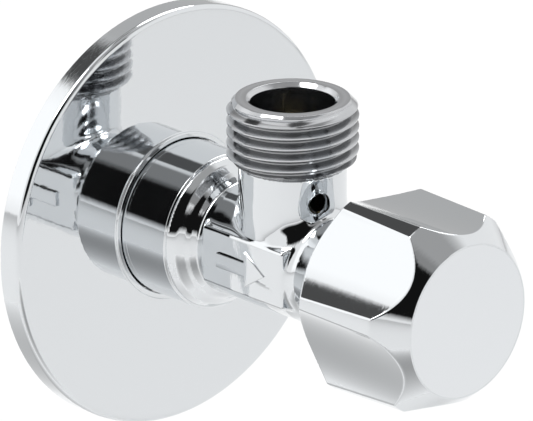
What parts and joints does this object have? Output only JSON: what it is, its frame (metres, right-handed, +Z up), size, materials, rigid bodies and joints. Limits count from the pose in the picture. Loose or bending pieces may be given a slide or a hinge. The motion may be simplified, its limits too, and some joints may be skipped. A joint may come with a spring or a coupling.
{
  "type": "angle stop valve",
  "caption": "Chromed right-angle stop valve with a round wall escutcheon, a threaded outlet pointing up and a six-sided turning handle.",
  "frame": {"origin": "on the inlet axis in the wall plane, where the escutcheon's rear rim rests", "axes": "+Y along the inlet into the wall, -Y towards the handle, +Z up along the outlet, X across"},
  "size_m": [0.0696, 0.0828, 0.0696],
  "materials": {
    "polished_chrome": "mirror-polished chrome plate",
    "bare_brass": "turned, bare",
    "steel": "plain stainless",
    "black_rubber": "matt moulded",
    "fibre_gasket": "matt pressed fibre",
    "white_plastic": "satin moulded"
  },
  "bodies": {
    "fixed_body": {"valve_body": "polished_chrome", "inlet_seal_ring": "white_plastic", "headpart_housing": "bare_brass", "headpart_gasket": "fibre_gasket", "thrust_washer": "white_plastic"},
    "closing_unit": {"closing_piston": "bare_brass", "piston_o_ring": "black_rubber", "seat_washer": "black_rubber", "washer_retainer": "bare_brass", "washer_screw": "bare_brass"},
    "handle_unit": {"spindle": "bare_brass", "spindle_o_ring_rear": "black_rubber", "spindle_o_ring_front": "black_rubber", "spindle_circlip": "steel", "handle": "polished_chrome", "handle_insert": "white_plastic", "handle_screw": "steel", "handle_cap": "polished_chrome"},
    "rosette_ring": {"escutcheon_grip_ring": "black_rubber"},
    "rosette": {"escutcheon": "polished_chrome"}
  },
  "joints": [
    {"name": "handle_turn", "type": "hinge", "parent": "fixed_body", "child": "handle_unit", "pos_m": [0, -0.06, 0], "axis": [0, -1, 0], "range_deg": [0, 900]},
    {"name": "piston_lift", "type": "slide", "parent": "fixed_body", "child": "closing_unit", "axis": [0, -1, 0], "range_m": [0, 0.004]},
    {"name": "rosette_slide", "type": "slide", "parent": "fixed_body", "child": "rosette_ring", "axis": [0, -1, 0], "range_m": [0, 0.008]},
    {"name": "rosette_turn", "type": "hinge", "parent": "rosette_ring", "child": "rosette", "pos_m": [0, 0, 0], "axis": [0, -1, 0], "continuous": true}
  ],
  "couplings": [
    {"joint": "piston_lift", "follows": "handle_turn", "m_per_rad": 0.0002546}
  ]
}
